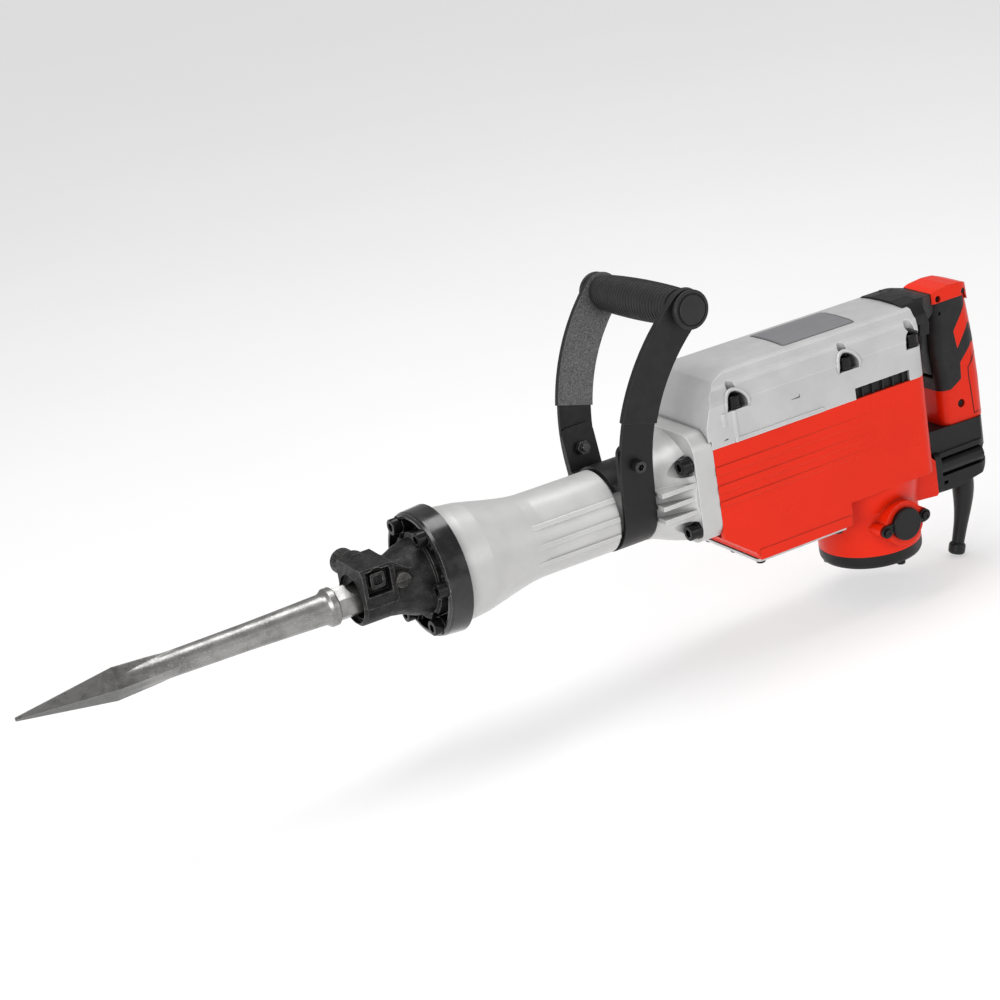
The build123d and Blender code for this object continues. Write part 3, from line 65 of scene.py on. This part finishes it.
# ---------------------------------------------------------------- shader helpers
class Shader:
    """A node material whose patterns follow the piece's own coordinates, in metres."""

    def __init__(self, name, color, roughness, metallic=0.0, coat=0.0, specular=0.5):
        self.material = bpy.data.materials.new(name)
        self.material.use_nodes = True
        self.tree = self.material.node_tree
        self.bsdf = self.tree.nodes["Principled BSDF"]
        self.bsdf.inputs["Base Color"].default_value = (*color, 1)
        self.bsdf.inputs["Roughness"].default_value = roughness
        self.bsdf.inputs["Metallic"].default_value = metallic
        self.bsdf.inputs["Coat Weight"].default_value = coat
        self.bsdf.inputs["Coat Roughness"].default_value = 0.2
        self.bsdf.inputs["Specular IOR Level"].default_value = specular
        self.color = color
        self.place = self.add("ShaderNodeTexCoord").outputs["Object"]

    def add(self, kind, **settings):
        node = self.tree.nodes.new(kind)
        for key, value in settings.items():
            setattr(node, key, value)
        return node

    def link(self, source, target):
        self.tree.links.new(source, target)

    def stretched(self, sx, sy, sz):
        """Coordinates scaled along each axis, for grain that runs one way."""
        node = self.add("ShaderNodeMapping")
        node.inputs["Scale"].default_value = (sx, sy, sz)
        self.link(self.place, node.inputs["Vector"])
        return node.outputs["Vector"]

    def noise(self, scale, detail=3.0, roughness=0.55, at=None):
        node = self.add("ShaderNodeTexNoise")
        node.inputs["Scale"].default_value = scale
        node.inputs["Detail"].default_value = detail
        node.inputs["Roughness"].default_value = roughness
        self.link(at or self.place, node.inputs["Vector"])
        return node.outputs["Fac"]

    def pits(self, scale, at=None):
        node = self.add("ShaderNodeTexVoronoi")
        node.inputs["Scale"].default_value = scale
        self.link(at or self.place, node.inputs["Vector"])
        return node.outputs["Distance"]

    def math(self, operation, a, b=0.0):
        node = self.add("ShaderNodeMath", operation=operation)
        for socket, value in zip(node.inputs, (a, b)):
            if isinstance(value, (int, float)):
                socket.default_value = value
            else:
                self.link(value, socket)
        return node.outputs["Value"]

    def remap(self, value, low, high, to_low=0.0, to_high=1.0):
        node = self.add("ShaderNodeMapRange")
        self.link(value, node.inputs["Value"])
        ends = {"From Min": low, "From Max": high, "To Min": to_low, "To Max": to_high}
        for key, number in ends.items():
            node.inputs[key].default_value = number
        return node.outputs["Result"]

    def mix(self, factor, a, b):
        node = self.add("ShaderNodeMix", data_type="RGBA")
        self.link(factor, node.inputs["Factor"])
        for socket, value in ((node.inputs[6], a), (node.inputs[7], b)):
            if isinstance(value, tuple):
                socket.default_value = (*value, 1)
            else:
                self.link(value, socket)
        return node.outputs[2]

    def split(self, vector=None):
        node = self.add("ShaderNodeSeparateXYZ")
        self.link(vector or self.place, node.inputs["Vector"])
        return node.outputs["X"], node.outputs["Y"], node.outputs["Z"]

    def edges(self, radius, low, high):
        """1 where the surface turns sharply within the radius, 0 on flat places."""
        bevel = self.add("ShaderNodeBevel", samples=4)
        bevel.inputs["Radius"].default_value = radius
        geometry = self.add("ShaderNodeNewGeometry")
        dot = self.add("ShaderNodeVectorMath", operation="DOT_PRODUCT")
        self.link(bevel.outputs["Normal"], dot.inputs[0])
        self.link(geometry.outputs["Normal"], dot.inputs[1])
        return self.remap(dot.outputs["Value"], 1 - low, 1 - high)

    def surface(self, bumps=(), soft_edge=0.0):
        """Rounds the edges' shading and adds bumps, each of (height, distance, strength)."""
        normal = None
        if soft_edge:
            bevel = self.add("ShaderNodeBevel", samples=4)
            bevel.inputs["Radius"].default_value = soft_edge
            normal = bevel.outputs["Normal"]
        for height, distance, strength in bumps:
            node = self.add("ShaderNodeBump")
            node.inputs["Distance"].default_value = distance
            node.inputs["Strength"].default_value = strength
            self.link(height, node.inputs["Height"])
            if normal:
                self.link(normal, node.inputs["Normal"])
            normal = node.outputs["Normal"]
        if normal:
            self.link(normal, self.bsdf.inputs["Normal"])
        return self

    def tint_with_painted_shade(self, color, crease_depth=0.6):
        """Base colour with painted shade, darkened in creases, pockets and narrow gaps."""
        hollow = self.add("ShaderNodeAmbientOcclusion", samples=6)
        hollow.inputs["Distance"].default_value = PAINTED_SHADE_REACH
        shade = self.remap(hollow.outputs["AO"], 0.25, 0.9, 1 - crease_depth, 1.0)
        node = self.add("ShaderNodeMix", data_type="RGBA", blend_type="MULTIPLY")
        node.inputs["Factor"].default_value = 1.0
        self.link(color, node.inputs[6])
        self.link(shade, node.inputs[7])
        self.link(node.outputs[2], self.bsdf.inputs["Base Color"])
        return self

    def gloss(self, roughness):
        self.link(roughness, self.bsdf.inputs["Roughness"])
        return self


def scaled(color, factor):
    return tuple(min(1.0, channel * factor) for channel in color)


# ---------------------------------------------------------------- materials
def painted_casting(name, color, grain=0.00012):
    """Satin paint on a casting: faint orange peel, slight mottle, and painted highlights that make the
    edges paler.
    """
    s = Shader(name, color, 0.4, metallic=0.15, coat=0.15)
    mottle = s.remap(s.noise(28), 0.35, 0.65)
    body = s.mix(mottle, scaled(color, 0.94), scaled(color, 1.04))
    # painted highlight: the edges are lightened to 1.7 times the paint colour
    s.tint_with_painted_shade(s.mix(s.edges(0.0016, 0.015, 0.16), body, scaled(color, 1.7)))
    s.gloss(s.remap(s.noise(90), 0.3, 0.7, 0.34, 0.46))
    return s.surface([(s.noise(620, 2), grain, 0.35), (s.noise(60, 2), 0.0006, 0.12)], soft_edge=0.0014)


def satin_black(name, color, rough, edge_radius=0.0010, bump=0.3, edge_highlight_gain=2.2, metallic=0.0):
    """Black coating or moulding with a fine grain and painted highlights on its edges."""
    s = Shader(name, color, rough, metallic=metallic, specular=0.28)
    body = s.mix(s.remap(s.noise(45), 0.35, 0.65), scaled(color, 0.85), scaled(color, 1.2))
    # painted highlight: the edges are lightened by the edge gain
    s.tint_with_painted_shade(s.mix(s.edges(edge_radius, 0.05, 0.45), body, scaled(color, edge_highlight_gain)))
    s.gloss(s.remap(s.noise(130), 0.3, 0.7, rough - 0.06, rough + 0.08))
    return s.surface([(s.noise(1500, 2), 0.00008, bump)], soft_edge=edge_radius)


def front_ring_black():
    """Black painted ring with fine turning marks, dull patches and painted highlights on its edges."""
    s = Shader("ring_black", (0.008, 0.008, 0.009), 0.2, coat=0.35, specular=0.4)
    patches = s.remap(s.noise(55, 4), 0.46, 0.7)
    body = s.mix(patches, (0.005, 0.005, 0.0055), (0.018, 0.018, 0.019))
    # painted highlight: the edges are lightened to a mid grey
    s.tint_with_painted_shade(s.mix(s.edges(0.0011, 0.03, 0.22), body, (0.32, 0.32, 0.32)))
    s.gloss(s.remap(s.noise(80, 4), 0.35, 0.65, 0.14, 0.28))
    turning = s.noise(500, 2, at=s.stretched(3, 0.2, 0.2))
    return s.surface([(turning, 0.00004, 0.25), (s.noise(120, 3), 0.0001, 0.12)], soft_edge=0.0009)


def rough_iron(name, color=(0.016, 0.016, 0.016), edge=(0.24, 0.23, 0.22)):
    """Dark sand-cast iron: pitted, mottled, with bare metal on its rubbed edges."""
    s = Shader(name, color, 0.46, metallic=0.45, specular=0.3)
    body = s.mix(s.remap(s.noise(95, 5), 0.38, 0.64), scaled(color, 0.6), scaled(color, 1.9))
    rub = s.math("MULTIPLY", s.edges(0.0015, 0.03, 0.22), s.remap(s.noise(260, 3), 0.28, 0.55))
    specks = s.remap(s.noise(900, 1), 0.66, 0.76)
    s.tint_with_painted_shade(s.mix(s.math("MAXIMUM", rub, s.math("MULTIPLY", specks, 0.35)), body, edge))
    s.gloss(s.remap(s.noise(200, 4), 0.3, 0.7, 0.4, 0.66))
    return s.surface([(s.noise(420, 4), 0.0004, 0.5), (s.pits(210), 0.0005, 0.22)], soft_edge=0.0012)


def forged_steel():
    """Chisel steel, bright and streaked along the shank and darker on the flats of the point."""
    color = (0.30, 0.296, 0.29)
    s = Shader("chisel_steel", color, 0.36, metallic=0.85)
    scale = s.remap(s.noise(42, 4), 0.42, 0.68)
    body = s.mix(scale, scaled(color, 1.05), scaled(color, 0.62))
    grain = s.noise(520, 3)
    body = s.mix(s.remap(grain, 0.55, 0.72), body, scaled(color, 1.35))
    shank = s.remap(s.split()[0], POINT_BASE_X, POINT_BASE_X + 0.04)
    body = s.mix(shank, scaled(color, 0.42), body)
    s.tint_with_painted_shade(s.mix(s.edges(0.0012, 0.03, 0.3), body, (0.5, 0.49, 0.48)))
    s.gloss(s.remap(s.noise(150, 3), 0.3, 0.7, 0.26, 0.42))
    ground = s.noise(300, 2, at=s.stretched(0.3, 3, 3))
    return s.surface([(grain, 0.0003, 0.4), (ground, 0.0002, 0.2)], soft_edge=0.0012)


def machined(name, color, rough=0.3, along=(0.4, 3, 3)):
    """Ground or turned metal with a fine directional grain."""
    s = Shader(name, color, rough, metallic=0.9)
    grain = s.noise(700, 2, at=s.stretched(*along))
    s.tint_with_painted_shade(s.mix(s.remap(s.noise(60), 0.35, 0.65), scaled(color, 0.88), scaled(color, 1.06)))
    s.gloss(s.remap(grain, 0.3, 0.7, rough - 0.07, rough + 0.1))
    return s.surface([(grain, 0.00006, 0.3)], soft_edge=0.0006)


def red_moulding():
    """Glossy orange-red shell with a faint flow mottle, soft edges and painted highlights along them.
    """
    color = (0.78, 0.021, 0.003)
    s = Shader("red_shell", color, 0.3, specular=0.18)
    body = s.mix(s.remap(s.noise(9, 3), 0.35, 0.65), scaled(color, 0.96), scaled(color, 1.04))
    # painted highlight: the edges are lightened to a pale orange-red
    s.tint_with_painted_shade(s.mix(s.edges(0.0009, 0.03, 0.3), body, (0.95, 0.11, 0.05)))
    s.gloss(s.remap(s.noise(60, 3), 0.3, 0.7, 0.26, 0.36))
    return s.surface([(s.noise(900, 2), 0.00002, 0.1)], soft_edge=0.0012)


def soft_rubber(name, color, rough=0.62, grain=1200):
    """Matte overmoulded rubber with a fine leathery grain and painted highlights on its edges."""
    s = Shader(name, color, rough, specular=0.28)
    s.bsdf.inputs["Sheen Weight"].default_value = 0.05
    body = s.mix(s.remap(s.noise(70, 3), 0.35, 0.65), scaled(color, 0.82), scaled(color, 1.25))
    # painted highlight: the edges are lightened to twice the rubber colour
    s.tint_with_painted_shade(s.mix(s.edges(0.0009, 0.05, 0.5), body, scaled(color, 2.0)))
    s.gloss(s.remap(s.noise(200), 0.3, 0.7, rough - 0.08, rough + 0.08))
    return s.surface([(s.pits(grain), 0.00012, 0.4)], soft_edge=0.0009)


def sleeve_rubber():
    """Arm sleeves: plain and dark outside; speckled on the sides that face each other, and paler there
    as painted sheen.
    """
    dark, painted_sheen_grey = (0.011, 0.011, 0.0115), (0.13, 0.13, 0.132)
    s = Shader("sleeve_rubber", dark, 0.55, specular=0.28)
    facing = s.add("ShaderNodeTexCoord").outputs["Normal"]
    inward = s.math("MULTIPLY", s.split(facing)[1], s.split()[1])
    inside = s.math("LESS_THAN", inward, -0.01)
    speckle = s.remap(s.noise(750, 3), 0.4, 0.62)
    speckled_sheen = s.mix(speckle, scaled(painted_sheen_grey, 0.55), scaled(painted_sheen_grey, 1.35))
    plain = s.mix(s.remap(s.noise(70), 0.35, 0.65), scaled(dark, 0.85), scaled(dark, 1.3))
    # painted light: the inner sides take the paler speckled colour as painted sheen
    body = s.mix(inside, plain, speckled_sheen)
    # painted highlight: the edges are lightened to a dark grey
    s.tint_with_painted_shade(s.mix(s.edges(0.0009, 0.05, 0.5), body, (0.09, 0.09, 0.09)))
    return s.surface([(s.noise(700, 2), 0.00012, 0.3)], soft_edge=0.0009)


LABEL_BORDER = 0.0022


def printed_foil():
    """Blank grey foil plate with a thin raised border and a brushed grain."""
    color = (0.24, 0.24, 0.25)
    s = Shader("label_grey", color, 0.36, metallic=0.3)
    brushed = s.noise(260, 2, at=s.stretched(0.15, 4, 1))
    x, y, _ = s.split()
    low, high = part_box("label_plate")
    half_x, half_y = (high[0] - low[0]) / 2, (high[1] - low[1]) / 2
    from_x = s.math("ABSOLUTE", s.math("SUBTRACT", x, (high[0] + low[0]) / 2))
    from_y = s.math("ABSOLUTE", y)
    border = s.math("MAXIMUM", s.math("SUBTRACT", from_x, half_x), s.math("SUBTRACT", from_y, half_y))
    rim = s.math("GREATER_THAN", border, -LABEL_BORDER)
    s.tint_with_painted_shade(s.mix(rim, s.mix(s.remap(brushed, 0.3, 0.7), scaled(color, 0.9), scaled(color, 1.1)),
                 scaled(color, 0.6)))
    return s.surface([(brushed, 0.00005, 0.3)], soft_edge=0.0005)


def wound_copper():
    """Varnished copper wire laid in fine turns."""
    s = Shader("copper_winding", (0.42, 0.14, 0.04), 0.35, metallic=0.6, coat=0.4)
    turns = s.noise(900, 1, at=s.stretched(0.3, 0.3, 3))
    s.tint_with_painted_shade(s.mix(s.remap(turns, 0.35, 0.6), (0.2, 0.06, 0.02), (0.55, 0.2, 0.06)))
    return s.surface([(turns, 0.0004, 0.6)])


SHEET_PITCH = 0.0008


def stacked_sheets():
    """Laminated core: thin steel sheets stacked along the motor's axis."""
    s = Shader("lamination", (0.16, 0.16, 0.165), 0.4, metallic=0.8)
    sheets = s.math("SINE", s.math("MULTIPLY", s.split()[2], 2 * math.pi / SHEET_PITCH))
    s.tint_with_painted_shade(s.mix(s.remap(sheets, -1, 1), (0.09, 0.09, 0.095), (0.24, 0.24, 0.245)))
    return s.surface([(sheets, 0.0001, 0.5)])


MATERIALS = {
    "case_grey": painted_casting("case_grey", (0.54, 0.54, 0.535)),
    "cover_silver": painted_casting("cover_silver", (0.52, 0.52, 0.52), grain=0.00018),
    "plate_silver": machined("plate_silver", (0.62, 0.62, 0.62), 0.34, (0.3, 3, 1)),
    "ring_black": front_ring_black(),
    "dark_iron": rough_iron("dark_iron"),
    "retainer_steel": rough_iron("retainer_steel", (0.022, 0.022, 0.022), (0.26, 0.25, 0.24)),
    "pin_steel": rough_iron("pin_steel", (0.045, 0.044, 0.042), (0.22, 0.21, 0.2)),
    "black_screw": satin_black("black_screw", (0.008, 0.008, 0.009), 0.24, 0.0007, 0.15, 26.0, 0.2),
    "zinc_steel": satin_black("zinc_steel", (0.05, 0.05, 0.05), 0.3, 0.0006, 0.2, 7.0, 0.7),
    "strap_black": satin_black("strap_black", (0.007, 0.007, 0.007), 0.38, 0.0010, 0.3, 12.0),
    "black_plastic": satin_black("black_plastic", (0.007, 0.007, 0.0075), 0.38, 0.0012, 0.3, 8.0),
    "trigger_plastic": satin_black("trigger_plastic", (0.045, 0.045, 0.047), 0.46, 0.0012, 0.35, 2.4),
    "gasket": soft_rubber("gasket", (0.012, 0.012, 0.012), 0.7),
    "damper_rubber": soft_rubber("damper_rubber", (0.02, 0.02, 0.02), 0.6),
    "grip_rubber": soft_rubber("grip_rubber", (0.011, 0.011, 0.0115), 0.52),
    "cap_rubber": soft_rubber("cap_rubber", (0.018, 0.018, 0.0185), 0.46, 900),
    "guard_rubber": soft_rubber("guard_rubber", (0.012, 0.013, 0.0135), 0.4, 700),
    "sleeve_rubber": sleeve_rubber(),
    "chisel_steel": forged_steel(),
    "red_shell": red_moulding(),
    "label_grey": printed_foil(),
    "ground_steel": machined("ground_steel", (0.55, 0.55, 0.55), 0.22),
    "gear_steel": machined("gear_steel", (0.3, 0.3, 0.31), 0.32, (2, 2, 0.5)),
    "piston_alloy": machined("piston_alloy", (0.6, 0.6, 0.6), 0.34),
    "brass": machined("brass", (0.62, 0.44, 0.16), 0.3),
    "copper": machined("copper", (0.65, 0.3, 0.16), 0.28, (3, 3, 0.4)),
    "carbon": satin_black("carbon", (0.03, 0.03, 0.03), 0.5),
    "copper_winding": wound_copper(),
    "lamination": stacked_sheets(),
}


def dress_frame():
    """Gives every CAD node the material of its slot."""
    for subpart in frame["record"]["subparts"]:
        shader = MATERIALS[subpart["material_slot"]]
        for slot in NODES[subpart["node"]].material_slots:
            slot.material = shader.material


# ---------------------------------------------------------------- fine pieces
ARCHED_POCKET_X = (-0.182, -0.043)
COVER_SIDE = ((0.199, 0.060), (0.241, 0.060), (0.246, 0.057), (0.254, 0.050), (0.2575, 0.0485),
              (0.260, 0.045))     # height and half width of the cover's side
POCKET_R, POCKET_Z, POCKET_FLOOR = 0.0125, 0.237, 0.232
RIM_R = 0.0021
RIM_SUNK = 0.0003         # how far a rim's centre line lies under the cover's side
RIM_OVERLAP = 0.0007      # how far a rim reaches over its pocket's edge
RIM_STEPS = 16


def cover_side_y(z):
    """Half the width of the gear cover at one height."""
    for (z0, y0), (z1, y1) in zip(COVER_SIDE, COVER_SIDE[1:]):
        if z <= z1:
            return y0 + (y1 - y0) * (z - z0) / (z1 - z0)
    return COVER_SIDE[-1][1]


BEAD_SIDES = 10
BEAD_TIP = 0.25           # thickness of a bead's two ends, as a share of its radius


def bead(name, paths, radius, body, slot):
    """Round beads along smooth paths, as one mesh that rides on a body."""
    mesh = bmesh.new()
    for path in paths:
        points = [Vector(point) for point in path]
        rings = []
        for k, point in enumerate(points):
            ahead = points[min(k + 1, len(points) - 1)] - points[max(k - 1, 0)]
            ahead.normalize()
            across = ahead.cross(Vector((0, 1, 0)))
            across = across.normalized() if across.length > 0.01 else Vector((1, 0, 0))
            outward = across.cross(ahead)
            taper = BEAD_TIP if k in (0, len(points) - 1) else 1.0
            ring = []
            for n in range(BEAD_SIDES):
                a = 2 * math.pi * n / BEAD_SIDES
                offset = across * math.cos(a) + outward * math.sin(a)
                ring.append(mesh.verts.new(point + offset * radius * taper))
            rings.append(ring)
        for a, b in zip(rings, rings[1:]):
            for n in range(BEAD_SIDES):
                following = (n + 1) % BEAD_SIDES
                mesh.faces.new((a[n], a[following], b[following], b[n]))
        mesh.faces.new(rings[0][::-1])
        mesh.faces.new(rings[-1])
    bmesh.ops.recalc_face_normals(mesh, faces=mesh.faces)
    data = bpy.data.meshes.new(name)
    mesh.to_mesh(data)
    mesh.free()
    data.shade_smooth()
    piece = bpy.data.objects.new(name, data)
    bpy.context.scene.collection.objects.link(piece)
    data.materials.append(MATERIALS[slot].material)
    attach(piece, body)
    return piece


def pocket_rims():
    """Cast lips round the arched screw pockets on both sides of the gear cover."""
    paths = []
    for side in (-1, 1):
        for x in ARCHED_POCKET_X:
            r = POCKET_R + RIM_R - RIM_OVERLAP
            path = [(x - r, POCKET_FLOOR - MM)]
            for k in range(RIM_STEPS + 1):
                a = math.pi * k / RIM_STEPS
                path.append((x - r * math.cos(a), POCKET_Z + r * math.sin(a)))
            path.append((x + r, POCKET_FLOOR - MM))
            paths.append([(px, side * (cover_side_y(pz) - RIM_SUNK), pz) for px, pz in path])
    bead("pocket_rims", paths, RIM_R, "hammer", "cover_silver")


GATE_MARKS = (((-203.5, 204.5), (-199.5, 205.0), (-197.5, 205.0)),
              ((-118.0, 222.5), (-108.0, 222.5), (-107.5, 225.5)))
COVER_HALF_MM = 60.05
MARK_R = 0.00055


def cover_marks():
    """Small dark gate marks low on both sides of the gear cover."""
    paths = [[(x * MM, side * COVER_HALF_MM * MM, z * MM) for x, z in mark]
             for side in (-1, 1) for mark in GATE_MARKS]
    bead("cover_marks", paths, MARK_R, "hammer", "black_plastic")


SEAM = ((147, 192), (141.5, 181), (136.5, 176), (136.2, 166), (137, 155), (138, 139), (139, 123),
        (149, 124.5))
SHELL_HALF_MM = 21.9
SEAM_R = 0.0006


def grip_seam():
    """Thin zigzag parting line in both sides of the rear handle's red shell."""
    paths = [[(x * MM, side * SHELL_HALF_MM * MM, z * MM) for x, z in SEAM] for side in (-1, 1)]
    bead("grip_seam", paths, SEAM_R, "hammer", "black_plastic")


# ---------------------------------------------------------------- stage
FLOOR_HALF = 16.0
FLOOR_GLOW = 0.52
MIDDLE = (-0.3, 0, AXIS_Z)
AREA_LIGHTS = (
    # name, place, width and height, watts
    ("key", (-2.9, -1.7, 1.2), (1.7, 1.4), 50),
    ("overhead", (-0.4, 0.2, 2.4), (2.6, 0.9), 40),
    ("side_fill", (1.2, -2.6, 1.0), (1.6, 1.4), 14),
)
SURROUND = 0.36
CAMERA_PLACE = (-1.51114, -2.12922, 1.05513)
CAMERA_BACK = (-0.42618, -0.83947, 0.33714)     # from the object towards the camera
CAMERA_ROLL = math.radians(-9.54)
CAMERA_LENS = 93.5


def studio_floor():
    """Pale seamless floor just under the lowest piece."""
    low = cad_bounds[0][2] - 0.5 * MM
    mesh = bmesh.new()
    bmesh.ops.create_grid(mesh, x_segments=8, y_segments=8, size=FLOOR_HALF)
    data = bpy.data.meshes.new("floor")
    mesh.to_mesh(data)
    mesh.free()
    floor = bpy.data.objects.new("floor", data)
    floor.location = (0, 0, low)
    bpy.context.scene.collection.objects.link(floor)
    s = Shader("pale_floor", (0.5, 0.5, 0.5), 0.8, specular=0.1)
    # painted shadow: the crease darkening also darkens the floor close under the tool
    s.tint_with_painted_shade(s.mix(s.remap(s.noise(2.0), 0.3, 0.7), (0.49, 0.49, 0.49), (0.51, 0.51, 0.51)))
    s.bsdf.inputs["Emission Color"].default_value = (1, 1, 1, 1)
    s.bsdf.inputs["Emission Strength"].default_value = FLOOR_GLOW
    data.materials.append(s.material)


def soft_light(name, place, size, power):
    """Rectangular area light that faces the tool's middle."""
    light = bpy.data.lights.new(name, "AREA")
    light.shape = "RECTANGLE"
    light.size, light.size_y = size
    light.energy = power
    lamp = bpy.data.objects.new(name, light)
    lamp.location = place
    lamp.rotation_euler = (Vector(MIDDLE) - Vector(place)).to_track_quat("-Z", "Y").to_euler()
    bpy.context.scene.collection.objects.link(lamp)


def studio_light():
    """Broad frontal key, an overhead strip, a side fill and a white surround."""
    for light in AREA_LIGHTS:
        soft_light(*light)
    world = bpy.data.worlds.new("studio")
    world.use_nodes = True
    world.node_tree.nodes["Background"].inputs["Color"].default_value = (1, 1, 1, 1)
    world.node_tree.nodes["Background"].inputs["Strength"].default_value = SURROUND
    bpy.context.scene.world = world
    bpy.context.scene.view_settings.view_transform = "Standard"


def photo_camera():
    """Camera with a long lens, looking down at the near side and front end, slightly rolled."""
    back = Vector(CAMERA_BACK).normalized()
    level = Vector((0, 0, 1)).cross(back).normalized()
    upright = back.cross(level)
    right = level * math.cos(CAMERA_ROLL) + upright * math.sin(CAMERA_ROLL)
    up = upright * math.cos(CAMERA_ROLL) - level * math.sin(CAMERA_ROLL)
    camera = bpy.data.cameras.new("camera")
    camera.sensor_width = 36.0
    camera.lens = CAMERA_LENS
    camera.clip_end = 60.0
    rig = bpy.data.objects.new("camera", camera)
    rotation = Matrix((right, up, back)).transposed()
    rig.matrix_world = Matrix.Translation(CAMERA_PLACE) @ rotation.to_4x4()
    bpy.context.scene.collection.objects.link(rig)
    bpy.context.scene.camera = rig


photo_camera()
dress_frame()
pocket_rims()
cover_marks()
grip_seam()
studio_floor()
studio_light()
